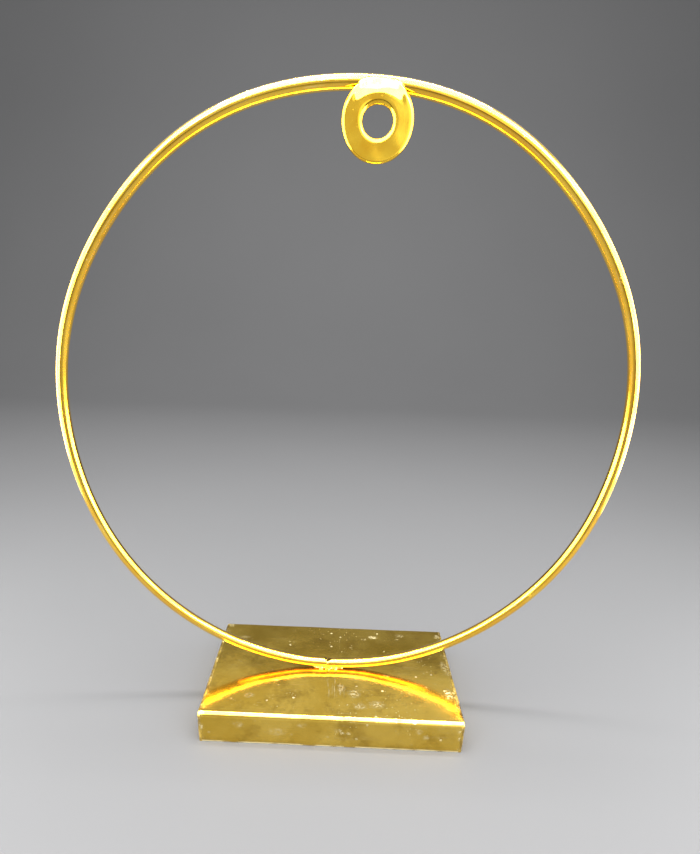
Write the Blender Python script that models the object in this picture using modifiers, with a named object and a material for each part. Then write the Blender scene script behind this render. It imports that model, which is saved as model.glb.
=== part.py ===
"""Wreath frame: a round bar hoop standing on a folded sheet base, with a hanging eye at its top.

Metres, +Z up. The origin is the middle of the base's underside, which stands on the table.
+X runs along the base's long side, and -Y is the front, where the hanging eye laps over the bar.
The whole frame is welded, so nothing on it moves.
"""

import math

import bmesh
import bpy
from mathutils import Vector

# Hoop of round bar
HOOP_DIAMETER = 0.300           # outside
BAR_DIAMETER = 0.006
HOOP_STEPS = 128
BAR_STEPS = 16

# Seam where the two ends of the bar meet, down at the base
SEAM_SHIFT = -0.0033            # from the middle of the base, towards the left
SEAM_ROOT_WIDTH = 0.0014        # between the squared ends
SEAM_MOUTH_WIDTH = 0.0034       # across the V that the ends are ground to
SEAM_MOUTH_DEPTH = 0.0021       # of the V, from the bar's upper side
SEAM_WELD_INSET = 0.0007        # of the weld metal, below the bar's surface

# Base of folded sheet
BASE_LENGTH = 0.150
BASE_DEPTH = 0.100
BASE_HEIGHT = 0.020
SHEET = 0.0015
BEND_INNER_RADIUS = 0.0010
BEND_STEPS = 6
END_WELD_FOOT = 0.0006          # the end beads stop this far above the table
END_WELD_ROUND = 0.0003

# Hanging eye, a thick washer
EYE_DIAMETER = 0.0305
EYE_HOLE_DIAMETER = 0.0128
EYE_THICKNESS = 0.0030
EYE_RIM_ROUND = 0.0013
EYE_HOLE_ROUND = 0.0013
EYE_LAP = 0.0036                # of the eye's rim over the bar, from the bar's inner side
EYE_ANGLE = math.radians(4.4)   # from the top of the hoop, towards the right
EYE_STEPS = 64
ROUND_STEPS = 3

# Beads at the eye and at the hoop's foot
EYE_WELD_RADIUS = 0.0012
EYE_WELD_HALF_ANGLE = math.radians(42)
EYE_WELD_STEPS = 24
FOOT_WELD_RADIUS = 0.0010
FOOT_WELD_LENGTH = 0.017
FOOT_WELD_SHIFT = -0.0024        # from the middle of the base, towards the left
FOOT_WELD_STEPS = 12
BEAD_END_TAPER = 0.45           # of a bead's radius, left at its two ends

TOUCH_GAP = 0.0003              # between pieces that rest on or are welded to each other

# Worked out from the sizes above
BAR_RADIUS = BAR_DIAMETER / 2
HOOP_RADIUS = HOOP_DIAMETER / 2 - BAR_RADIUS
HOOP_CENTRE_Z = BASE_HEIGHT + TOUCH_GAP + HOOP_DIAMETER / 2
SEAM_ANGLE = math.asin(SEAM_SHIFT / HOOP_RADIUS)
SEAM_WELD_RADIUS = BAR_RADIUS - SEAM_WELD_INSET
BEND_RADIUS = BEND_INNER_RADIUS + SHEET
EYE_RADIUS = EYE_DIAMETER / 2
EYE_CENTRE_RADIUS = HOOP_RADIUS - BAR_RADIUS + EYE_LAP - EYE_RADIUS
EYE_CENTRE_Y = -(BAR_RADIUS + TOUCH_GAP + EYE_THICKNESS / 2)
END_WELD_SECTION = SHEET - TOUCH_GAP

GOLD = (0.80, 0.58, 0.13)
GOLD_BEAD = (0.86, 0.68, 0.28)


def clear_scene():
    for old in list(bpy.data.objects):
        bpy.data.objects.remove(old, do_unlink=True)


def new_collection(name):
    collection = bpy.data.collections.new(name)
    bpy.context.scene.collection.children.link(collection)
    return collection


def metal(name, colour, roughness):
    """A bare metal finish: colour, roughness and full metallic value."""
    material = bpy.data.materials.new(name)
    material.use_nodes = True
    shader = material.node_tree.nodes["Principled BSDF"]
    shader.inputs["Base Color"].default_value = (*colour, 1.0)
    shader.inputs["Metallic"].default_value = 1.0
    shader.inputs["Roughness"].default_value = roughness
    return material


def place(obj, name, collection, material=None):
    """Names an object, moves it into a collection and gives it a material."""
    obj.name = name
    for holder in list(obj.users_collection):
        holder.objects.unlink(obj)
    collection.objects.link(obj)
    if material:
        obj.data.materials.clear()
        obj.data.materials.append(material)
    return obj


def smooth(obj, angle_degrees=35):
    obj.data.shade_smooth()
    obj.data.set_sharp_from_angle(angle=math.radians(angle_degrees))


def arc(centre_x, centre_y, radius, start, end, steps):
    """Points of a flat arc, both ends included; the angles are in degrees."""
    angles = [math.radians(start + (end - start) * i / steps) for i in range(steps + 1)]
    return [(centre_x + radius * math.cos(a), centre_y + radius * math.sin(a)) for a in angles]


def on_hoop(radius, angle, y=0.0):
    """A point at a radius and an angle from the top of the hoop, towards the right."""
    return Vector((radius * math.sin(angle), y, HOOP_CENTRE_Z + radius * math.cos(angle)))


def plate_mesh(name, outline, thickness):
    """A flat closed outline, drawn as a filled 2D curve and turned into a closed mesh."""
    curve = bpy.data.curves.new(name + "_outline", "CURVE")
    curve.dimensions = "2D"
    curve.fill_mode = "BOTH"
    curve.extrude = thickness / 2
    spline = curve.splines.new("POLY")
    spline.points.add(len(outline) - 1)
    for point, (x, y) in zip(spline.points, outline):
        point.co = (x, y, 0.0, 1.0)
    spline.use_cyclic_u = True
    drawn = bpy.data.objects.new(name + "_outline", curve)
    bpy.context.scene.collection.objects.link(drawn)
    evaluated = drawn.evaluated_get(bpy.context.evaluated_depsgraph_get())
    mesh = bpy.data.meshes.new_from_object(evaluated)
    bpy.data.objects.remove(drawn, do_unlink=True)
    edit = bmesh.new()
    edit.from_mesh(mesh)
    bmesh.ops.remove_doubles(edit, verts=edit.verts, dist=1e-6)
    edit.to_mesh(mesh)
    edit.free()
    mesh.name = name
    return mesh


def bead(name, points, radius, collection, material):
    """A weld bead: a round tube through the points, thinner towards both ends."""
    curve = bpy.data.curves.new(name, "CURVE")
    curve.dimensions = "3D"
    curve.bevel_depth = radius
    curve.bevel_resolution = 2
    curve.use_fill_caps = True
    spline = curve.splines.new("POLY")
    spline.points.add(len(points) - 1)
    for point, (position, share) in zip(spline.points, points):
        point.co = (*position, 1.0)
        point.radius = share
    obj = bpy.data.objects.new(name, curve)
    collection.objects.link(obj)
    curve.materials.append(material)
    return obj


def bead_share(along):
    """Share of a bead's full radius at a place along it, from -1 at one end to 1 at the other."""
    return BEAD_END_TAPER + (1.0 - BEAD_END_TAPER) * math.sqrt(1.0 - along * along)


def fold_profile(inset):
    """The folded sheet's section, front foot to rear foot, a given depth inside its outer face."""
    half = BASE_DEPTH / 2 - inset
    top = BASE_HEIGHT - inset
    radius = BEND_RADIUS - inset
    front = arc(-half + radius, top - radius, radius, 180, 90, BEND_STEPS)
    rear = arc(half - radius, top - radius, radius, 90, 0, BEND_STEPS)
    return [(-half, 0.0)] + front + rear + [(half, 0.0)]


def folded_strip(name, start_x, end_x, foot_z, thickness, collection, material):
    """Sheet folded over the base's section, from one X to another: an open skin, then thickened."""
    profile = fold_profile(0.0)
    profile[0] = (profile[0][0], foot_z)
    profile[-1] = (profile[-1][0], foot_z)
    edit = bmesh.new()
    corners = [edit.verts.new((start_x, y, z)) for y, z in profile]
    edges = [edit.edges.new(pair) for pair in zip(corners, corners[1:])]
    swept = bmesh.ops.extrude_edge_only(edit, edges=edges)["geom"]
    moved = [item for item in swept if isinstance(item, bmesh.types.BMVert)]
    bmesh.ops.translate(edit, verts=moved, vec=(end_x - start_x, 0.0, 0.0))
    bmesh.ops.recalc_face_normals(edit, faces=edit.faces)
    upward = max(edit.faces, key=lambda face: face.calc_center_median().z)
    if upward.normal.z < 0.0:
        bmesh.ops.reverse_faces(edit, faces=edit.faces)
    mesh = bpy.data.meshes.new(name)
    edit.to_mesh(mesh)
    edit.free()
    obj = bpy.data.objects.new(name, mesh)
    collection.objects.link(obj)
    mesh.materials.append(material)
    wall = obj.modifiers.new("wall", "SOLIDIFY")
    wall.thickness = thickness
    wall.offset = -1.0
    wall.use_even_offset = True
    smooth(obj)
    return obj


def make_hoop(collection, cutters, material):
    """The bar bent into a circle, its two ends ground to a V where they meet at the base."""
    bpy.ops.mesh.primitive_torus_add(
        major_radius=HOOP_RADIUS,
        minor_radius=BAR_RADIUS,
        major_segments=HOOP_STEPS,
        minor_segments=BAR_STEPS,
        location=(0.0, 0.0, HOOP_CENTRE_Z),
        rotation=(math.radians(90), 0.0, 0.0),
    )
    hoop = place(bpy.context.object, "hoop", collection, material)
    smooth(hoop)
    cutter = make_seam_cutter(cutters)
    cut = hoop.modifiers.new("seam", "BOOLEAN")
    cut.operation = "DIFFERENCE"
    cut.solver = "EXACT"
    cut.object = cutter
    return hoop


def make_seam_cutter(cutters):
    """A slot right through the bar, opening into a V on its upper side."""
    slot = SEAM_ROOT_WIDTH / 2
    mouth = SEAM_MOUTH_WIDTH / 2
    beyond = BAR_RADIUS
    # The V's sides carry on at their own slope past the bar's upper side.
    spread = (mouth - slot) * beyond / SEAM_MOUTH_DEPTH
    root = BAR_RADIUS - SEAM_MOUTH_DEPTH
    top = BAR_RADIUS + beyond
    outline = [
        (-slot, -top),
        (slot, -top),
        (slot, root),
        (mouth + spread, top),
        (-mouth - spread, top),
        (-slot, root),
    ]
    mesh = plate_mesh("seam_cutter", outline, 2 * BAR_DIAMETER)
    cutter = bpy.data.objects.new("seam_cutter", mesh)
    cutters.objects.link(cutter)
    cutter.location = on_hoop(HOOP_RADIUS, math.pi - SEAM_ANGLE)
    cutter.rotation_euler = (math.radians(90), -SEAM_ANGLE, 0.0)
    cutter.hide_render = True
    cutter.display_type = "WIRE"
    return cutter


def make_seam_weld(collection, material):
    """The metal between the bar's two ends, lower than the bar so that the V stays open."""
    bpy.ops.mesh.primitive_cylinder_add(
        vertices=20,
        radius=SEAM_WELD_RADIUS,
        depth=SEAM_ROOT_WIDTH - 2 * TOUCH_GAP,
        location=on_hoop(HOOP_RADIUS, math.pi - SEAM_ANGLE),
        rotation=(0.0, math.radians(90) - SEAM_ANGLE, 0.0),
    )
    weld = place(bpy.context.object, "hoop_seam_weld", collection, material)
    smooth(weld)
    return weld


def make_foot_weld(name, side, collection, material):
    """A bead in the corner between the bar and the base's top; side is -1 in front, 1 behind."""
    points = []
    for step in range(FOOT_WELD_STEPS + 1):
        along = 2.0 * step / FOOT_WELD_STEPS - 1.0
        x = FOOT_WELD_SHIFT + along * FOOT_WELD_LENGTH / 2
        share = bead_share(along)
        radius = FOOT_WELD_RADIUS * share
        z = BASE_HEIGHT + TOUCH_GAP + radius
        bar_z = HOOP_CENTRE_Z - math.sqrt(HOOP_RADIUS ** 2 - x * x)
        reach = BAR_RADIUS + TOUCH_GAP + radius
        y = side * math.sqrt(reach ** 2 - (bar_z - z) ** 2)
        points.append(((x, y, z), share))
    return bead(name, points, FOOT_WELD_RADIUS, collection, material)


def make_eye(collection, material):
    """A thick washer with rounded rims, turned about its own axis, lapped on the bar's front."""
    half = EYE_THICKNESS / 2
    hole = EYE_HOLE_DIAMETER / 2
    rim = EYE_RIM_ROUND
    lip = EYE_HOLE_ROUND
    section = (
        arc(EYE_RADIUS - rim, half - rim, rim, 90, 0, ROUND_STEPS)
        + arc(EYE_RADIUS - rim, rim - half, rim, 0, -90, ROUND_STEPS)
        + arc(hole + lip, lip - half, lip, 270, 180, ROUND_STEPS)
        + arc(hole + lip, half - lip, lip, 180, 90, ROUND_STEPS)
    )
    mesh = bpy.data.meshes.new("hanging_eye")
    edit = bmesh.new()
    corners = [edit.verts.new((radius, 0.0, height)) for radius, height in section]
    for pair in zip(corners, corners[1:] + corners[:1]):
        edit.edges.new(pair)
    edit.to_mesh(mesh)
    edit.free()
    eye = bpy.data.objects.new("hanging_eye", mesh)
    collection.objects.link(eye)
    mesh.materials.append(material)
    eye.location = on_hoop(EYE_CENTRE_RADIUS, EYE_ANGLE, EYE_CENTRE_Y)
    eye.rotation_euler = (math.radians(90), 0.0, 0.0)
    turn = eye.modifiers.new("turn", "SCREW")
    turn.axis = "Z"
    turn.angle = math.radians(360)
    turn.steps = EYE_STEPS
    turn.render_steps = EYE_STEPS
    turn.use_merge_vertices = True
    turn.merge_threshold = 0.00001
    turn.use_smooth_shade = True
    return eye


def make_eye_weld(collection, material):
    """A bead round the eye's upper rim, touching both the rim and the front of the bar."""
    centre = on_hoop(EYE_CENTRE_RADIUS, EYE_ANGLE)
    hoop_centre = on_hoop(0.0, 0.0)
    points = []
    for step in range(EYE_WELD_STEPS + 1):
        along = 2.0 * step / EYE_WELD_STEPS - 1.0
        angle = EYE_ANGLE + along * EYE_WELD_HALF_ANGLE
        share = bead_share(along)
        radius = EYE_WELD_RADIUS * share
        reach = EYE_RADIUS + TOUCH_GAP + radius
        spot = centre + reach * Vector((math.sin(angle), 0.0, math.cos(angle)))
        from_bar = BAR_RADIUS + TOUCH_GAP + radius
        offset = (spot - hoop_centre).length - HOOP_RADIUS
        spot.y = -math.sqrt(from_bar ** 2 - offset ** 2)
        points.append((spot, share))
    return bead("eye_weld", points, EYE_WELD_RADIUS, collection, material)


def make_end_plate(name, side, collection, material):
    """The flat plate that closes one end of the folded sheet; side is -1 at the left."""
    outline = fold_profile(SHEET)
    mesh = plate_mesh(name, outline, SHEET)
    plate = bpy.data.objects.new(name, mesh)
    collection.objects.link(plate)
    mesh.materials.append(material)
    plate.location = (side * (BASE_LENGTH - SHEET) / 2, 0.0, 0.0)
    plate.rotation_euler = (math.radians(90), 0.0, math.radians(90))
    smooth(plate)
    return plate


def make_end_weld(name, side, collection, material):
    """The bead ground flush over both corners and the top edge at one end of the base."""
    outer = side * BASE_LENGTH / 2
    inner = side * (BASE_LENGTH / 2 - SHEET)
    section = END_WELD_SECTION
    weld = folded_strip(
        name, min(outer, inner), max(outer, inner), END_WELD_FOOT, section, collection, material
    )
    rounding = weld.modifiers.new("ground", "BEVEL")
    rounding.width = END_WELD_ROUND
    rounding.segments = 2
    rounding.limit_method = "ANGLE"
    rounding.angle_limit = math.radians(60)
    return weld


def build():
    clear_scene()
    frame = new_collection("wreath_frame")
    cutters = new_collection("cutters")
    plated = metal("gold_plating", GOLD, 0.18)
    plated_bead = metal("gold_plated_bead", GOLD_BEAD, 0.32)

    make_hoop(frame, cutters, plated)
    make_seam_weld(frame, plated_bead)
    make_foot_weld("foot_weld_front", -1, frame, plated_bead)
    make_foot_weld("foot_weld_rear", 1, frame, plated_bead)
    make_eye(frame, plated)
    make_eye_weld(frame, plated_bead)

    # The folded sheet stops short of the end plates by their thickness and the gap.
    fold_half = BASE_LENGTH / 2 - SHEET - TOUCH_GAP
    folded_strip("base_channel", -fold_half, fold_half, 0.0, SHEET, frame, plated)
    for word, side in (("left", -1), ("right", 1)):
        make_end_plate("base_end_" + word, side, frame, plated)
        make_end_weld("base_end_weld_" + word, side, frame, plated_bead)


build()
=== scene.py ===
"""Looks of the wreath frame: a gold plated hoop of round bar, welded to a folded sheet base.

Metres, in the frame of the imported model: the origin is the middle of the base's underside, +Z is
up, +X runs along the base's long side and -Y is the front. Each piece is a surface worked out as
whole arrays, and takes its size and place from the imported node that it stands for.
"""

import math

import bpy
import numpy as np
from mathutils import Matrix, Vector


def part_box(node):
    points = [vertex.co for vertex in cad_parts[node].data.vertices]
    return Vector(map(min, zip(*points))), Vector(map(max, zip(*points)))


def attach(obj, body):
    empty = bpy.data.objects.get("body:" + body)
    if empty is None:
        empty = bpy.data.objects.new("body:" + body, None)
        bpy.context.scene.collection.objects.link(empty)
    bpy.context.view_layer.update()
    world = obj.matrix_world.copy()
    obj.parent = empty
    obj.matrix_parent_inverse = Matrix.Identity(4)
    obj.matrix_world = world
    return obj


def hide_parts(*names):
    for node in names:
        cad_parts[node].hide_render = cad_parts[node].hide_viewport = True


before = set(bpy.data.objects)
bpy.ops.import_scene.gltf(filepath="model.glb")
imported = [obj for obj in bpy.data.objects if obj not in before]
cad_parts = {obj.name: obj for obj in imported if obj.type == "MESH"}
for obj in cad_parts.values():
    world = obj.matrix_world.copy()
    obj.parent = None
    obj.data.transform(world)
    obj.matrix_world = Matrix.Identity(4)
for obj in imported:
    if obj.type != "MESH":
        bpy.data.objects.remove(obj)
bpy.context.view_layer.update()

MM = 0.001

# ---------------------------------------------------------------- sizes read from the frame


def node_box(node):
    """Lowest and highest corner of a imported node, as arrays."""
    low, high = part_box(node)
    return np.array(low), np.array(high)


HOOP_LOW, HOOP_HIGH = node_box("hoop")
BAR_RADIUS = (HOOP_HIGH[1] - HOOP_LOW[1]) / 2
HOOP_RADIUS = (HOOP_HIGH[0] - HOOP_LOW[0]) / 2 - BAR_RADIUS
HOOP_CENTRE_Z = HOOP_HIGH[2] - HOOP_RADIUS - BAR_RADIUS

SEAM_LOW, SEAM_HIGH = node_box("hoop_seam_weld")
SEAM_X = (SEAM_LOW[0] + SEAM_HIGH[0]) / 2
SEAM_ANGLE = math.pi - math.asin(SEAM_X / HOOP_RADIUS)

EYE_LOW, EYE_HIGH = node_box("hanging_eye")
EYE_X, EYE_Y, EYE_Z = (EYE_LOW + EYE_HIGH) / 2
EYE_RADIUS = (EYE_HIGH[0] - EYE_LOW[0]) / 2
EYE_THICKNESS = EYE_HIGH[1] - EYE_LOW[1]
EYE_ANGLE = math.atan2(EYE_X, EYE_Z - HOOP_CENTRE_Z)
EYE_CENTRE_RADIUS = math.hypot(EYE_X, EYE_Z - HOOP_CENTRE_Z)

FOLD_LOW, FOLD_HIGH = node_box("base_channel")
BASE_TOP = FOLD_HIGH[2]
BASE_HALF_DEPTH = FOLD_HIGH[1]
PLATE_LOW, PLATE_HIGH = node_box("base_end_right")
BASE_HALF_LENGTH = PLATE_HIGH[0]
SHEET = PLATE_HIGH[0] - PLATE_LOW[0]

FOOT_LOW, FOOT_HIGH = node_box("foot_weld_front")

# ---------------------------------------------------------------- sizes of the finer detail

BAR_END_SETBACK = 0.15 * MM      # of each cut end from the middle of the seam
NOTCH_ROOT = 1.90 * MM           # height of the ground V's bottom over the bar's middle
NOTCH_SLOPE_LEFT = 0.7           # rise of the V's side per length along the bar
NOTCH_SLOPE_RIGHT = 0.42
LEFT_END_LIFT = 0.30 * MM
LEFT_END_LIFT_LENGTH = 12 * MM

EYE_HOLE_RADIUS = 6.4 * MM
EYE_RIM_OVER = 0.20 * MM         # the rim stands out of the node's by this
EYE_LIFT = 0.55 * MM
EYE_ASIDE = 0.15 * MM
EYE_HOLE_SQUASH_TOP = 0.80 * MM  # the hole is lower than wide
EYE_HOLE_SQUASH_FOOT = 0.30 * MM
EYE_RIM_ROUND = 1.9 * MM         # along the face; the rounding takes nearly half the thickness
EYE_RIM_FOOT = 0.5               # of that at the eye's foot
EYE_LIP_ROUND = 2.1 * MM
EYE_ROUND_DEPTH = 1.42 * MM

MELT_DEPTH = 1.75 * MM           # of the eye's front under its weld, at the rim
MELT_REACH = 6.2 * MM            # down from the rim
EYE_BEAD_HALF_WIDTH = 11.2 * MM

EYE_BEAD_HEEL = math.radians(57)  # round the bar, from its outermost line to the bead's start
FOOT_BEAD_OVERRUN = 0.4 * MM     # past each end of the node's bead
SEAM_BEAD_HALF_LENGTH = 1.25 * MM

BEND_RADIUS = 3.1 * MM
CUT_EDGE_ROUND = 0.35 * MM
FOLD_OVERRUN = 0.2 * MM          # of the fold under the end beads
PLATE_EDGE_ROUND = 0.25 * MM
PLATE_INSET = 0.09 * MM          # of the end plate's face behind the bead's
BEAD_CORNER_ROUND = 1.0 * MM
GRINDER_LUMP = 0.11 * MM
CHIP_DEPTH = 0.38 * MM
CHIP_HEIGHT = 1.2 * MM
CHIP_REACH = 1.5 * MM


# ---------------------------------------------------------------- shared mathematics


def smooth_step(share):
    """Rises from 0 to 1 with level ends, as 3 t^2 - 2 t^3 of the share held between 0 and 1."""
    held = np.clip(share, 0.0, 1.0)
    return held * held * (3.0 - 2.0 * held)


def soft_least(first, second, softness):
    """The smaller of two heights, with the corner between them rounded off.

    Half of (a + b - square root of ((a - b)^2 + softness^2)).
    """
    return 0.5 * (first + second - np.sqrt((first - second) ** 2 + softness ** 2))


def waves(across, along, seed, longest, shortest, count=14):
    """Uneven ground between about -1 and 1: a sum of plane sine waves over two coordinates.

    The wavelengths fall evenly in ratio from the longest to the shortest, each wave's height goes
    with the square root of its length, and its heading and phase are drawn from the seed.
    """
    dice = np.random.default_rng(seed)
    lengths = np.geomspace(longest, shortest, count)
    headings = dice.uniform(0.0, 2.0 * np.pi, count)
    phases = dice.uniform(0.0, 2.0 * np.pi, count)
    heights = np.sqrt(lengths / longest)
    heights = heights / np.sqrt((heights ** 2).sum())
    run = across[..., None] * np.cos(headings) + along[..., None] * np.sin(headings)
    return (heights * np.sin(2.0 * np.pi * run / lengths + phases)).sum(-1)


def hump(distance, reach):
    """A bell of height 1 that falls off with distance: e to the minus (distance / reach)^2."""
    return np.exp(-(distance / reach) ** 2)


def corner_arc(centre, radius, start, end, count):
    """Points of a flat arc and its outward normals; the angles are in degrees, both ends kept."""
    angle = np.radians(np.linspace(start, end, count))
    normal = np.stack([np.cos(angle), np.sin(angle)], -1)
    return np.array(centre) + radius * normal, normal


# ---------------------------------------------------------------- meshes


def cap_with_point(faces, points, ring, outward_first):
    """Closes an open end with a fan of triangles round the middle of its ring of points."""
    middle = len(points)
    points = np.vstack([points, points[ring].mean(0)])
    following = np.roll(ring, -1)
    pair = (following, ring) if outward_first else (ring, following)
    fan = np.stack([pair[0], pair[1], np.full(len(ring), middle)], -1)
    return faces + fan.tolist(), points


def skin(name, grid, caps="point", closed_rows=False):
    """A closed mesh over a grid of points: rows along a path, columns round the section.

    Neighbouring rows and columns are joined by four-sided faces, and the last column meets the
    first. Open ends are closed by a point in their middle, or, for a folded sheet, by a ribbon
    between the first half of the columns and the second half run backwards. If the enclosed
    volume comes out negative, every face is turned round.
    """
    rows, columns = grid.shape[:2]
    points = grid.reshape(-1, 3)
    row = np.arange(rows if closed_rows else rows - 1)[:, None]
    column = np.arange(columns)[None, :]
    next_row = (row + 1) % rows
    next_column = (column + 1) % columns
    quads = np.stack([
        row * columns + column,
        row * columns + next_column,
        next_row * columns + next_column,
        next_row * columns + column,
    ], -1).reshape(-1, 4)
    first, second, third, fourth = (points[quads[:, corner]] for corner in range(4))
    faces = quads.tolist()
    if not closed_rows and caps == "point":
        faces, points = cap_with_point(faces, points, np.arange(columns), True)
        last_ring = (rows - 1) * columns + np.arange(columns)
        faces, points = cap_with_point(faces, points, last_ring, False)
    if not closed_rows and caps == "ribbon":
        outer = np.arange(columns // 2 - 1)
        inner = columns - 1 - outer
        start = np.stack([outer, inner, inner - 1, outer + 1], -1)
        faces += start.tolist()
        faces += (start[:, ::-1] + (rows - 1) * columns).tolist()
    volume = np.einsum("ij,ij->", first, np.cross(second, third))
    volume += np.einsum("ij,ij->", first, np.cross(third, fourth))
    if volume < 0.0:
        faces = [face[::-1] for face in faces]
    mesh = bpy.data.meshes.new(name)
    mesh.from_pydata(points.tolist(), [], faces)
    mesh.shade_smooth()
    mesh.set_sharp_from_angle(angle=math.radians(50))
    return mesh


def give_attribute(mesh, name, values):
    """Stores one vector for each point of a mesh, for its finish to use."""
    layer = mesh.attributes.new(name, "FLOAT_VECTOR", "POINT")
    layer.data.foreach_set("vector", values.astype(np.float32).ravel())


def fit(name, mesh, material, node):
    """Puts a finished mesh into the frame, riding with the welded body, in place of its node."""
    piece = bpy.data.objects.new(name, mesh)
    bpy.context.scene.collection.objects.link(piece)
    mesh.materials.append(material)
    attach(piece, "root")
    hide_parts(node)


# ---------------------------------------------------------------- hoop


def on_hoop(angle, height, front):
    """Points at an angle from the hoop's top, a height outside the bar's middle, and a depth in Y."""
    radius = HOOP_RADIUS + height
    return np.stack([
        radius * np.sin(angle),
        front + np.zeros_like(radius * angle),
        HOOP_CENTRE_Z + radius * np.cos(angle),
    ], -1)


BENDS = (
    # bends in one turn, height, and where the first one peaks, clockwise from the hoop's top
    (1, 0.47 * MM, math.radians(151)),
    (2, 0.26 * MM, math.radians(83)),
    (7, 0.25 * MM, math.radians(23)),
    (8, 0.16 * MM, math.radians(-22)),
)
SMALLER = 0.14 * MM              # than the true circle, on average


def bow(angle):
    """How far the rolled bar stands outside the true circle: a few cosines of the angle.

    It fades to nothing where the bar is welded down.
    """
    total = -SMALLER + sum(height * np.cos(turns * (angle - peak)) for turns, height, peak in BENDS)
    return total * smooth_step(np.abs(np.pi - angle % (2.0 * np.pi)) / 0.30)


def hoop_rows():
    """Lengths along the bar from its left end: close together near both ends, then even."""
    total = 2.0 * math.pi * HOOP_RADIUS - 2.0 * BAR_END_SETBACK
    near_end = np.arange(0.0, 5.0 * MM, 0.14 * MM)
    between = np.linspace(5.0 * MM, total - 5.0 * MM, 760)
    return np.concatenate([near_end, between, total - near_end[::-1]]), total


def make_hoop_bar():
    """A round section carried round the circle, from one cut end to the other.

    Point = section's middle + bar radius * (cos * outward + sin * frontward). The middle leaves the
    true circle by the bow, and leans a little out of its plane higher up. The height towards the
    hoop's centre is held under a slope that rises from the notch's root with the distance from each
    end, which leaves the ground V.
    """
    length, total = hoop_rows()
    angle = (SEAM_ANGLE + (BAR_END_SETBACK + length) / HOOP_RADIUS)[:, None]
    turn = np.linspace(0.0, 2.0 * np.pi, 44, endpoint=False)[None, :]
    from_left = length[:, None]
    from_right = (total - length)[:, None]

    above_foot = 0.5 + 0.5 * np.cos(angle)
    leaning = 0.10 * MM * np.sin(3.0 * angle + 0.4) + 0.06 * MM * np.sin(7.0 * angle + 1.3)
    lift = LEFT_END_LIFT * (1.0 - smooth_step(from_left / LEFT_END_LIFT_LENGTH))

    inward = -BAR_RADIUS * np.cos(turn) + 0.0 * angle
    limit_left = NOTCH_ROOT + NOTCH_SLOPE_LEFT * from_left
    limit_right = NOTCH_ROOT + NOTCH_SLOPE_RIGHT * from_right
    limit = np.minimum(limit_left, limit_right)
    near = smooth_step(2.0 - np.minimum(from_left, from_right) / (2.5 * MM))
    ground = soft_least(inward, limit, 0.25 * MM)
    inward = inward + near * (ground - inward)

    height = -inward + bow(angle) - lift
    front = -BAR_RADIUS * np.sin(turn) + above_foot * leaning
    mesh = skin("hoop_bar", on_hoop(angle, height, front))
    unrolled = np.stack([
        from_left + 0.0 * turn,
        BAR_RADIUS * np.cos(turn) + 0.0 * angle,
        BAR_RADIUS * np.sin(turn) + 0.0 * angle,
    ], -1).reshape(-1, 3)
    ends = np.array([[0.0, 0.0, 0.0], [total, 0.0, 0.0]])
    give_attribute(mesh, "unrolled", np.vstack([unrolled, ends]))
    return mesh


def make_seam_bead():
    """The weld metal in the seam: a short barrel along the bar, ground flush, flat under the V.

    Radius = bar radius * (1.006 - 0.06 s^2) plus small lumps, with s from -1 to 1 along the barrel, and
    the height towards the hoop's centre held under the notch's root.
    """
    place = np.linspace(-1.0, 1.0, 26)[:, None]
    turn = np.linspace(0.0, 2.0 * np.pi, 40, endpoint=False)[None, :]
    half_length = SEAM_BEAD_HALF_LENGTH
    lumps = waves(place * half_length + 0.0 * turn, BAR_RADIUS * turn + 0.0 * place, 5, 3 * MM, 0.8 * MM)
    radius = BAR_RADIUS * (1.006 - 0.06 * place ** 2) + 0.02 * MM * lumps
    inward = soft_least(-radius * np.cos(turn), NOTCH_ROOT + 0.12 * MM * lumps, 0.35 * MM)
    angle = SEAM_ANGLE + place * half_length / HOOP_RADIUS
    return skin("hoop_seam_bead", on_hoop(angle + 0.0 * turn, -inward, -radius * np.sin(turn)))


# ---------------------------------------------------------------- beads at the foot and the eye


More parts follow.
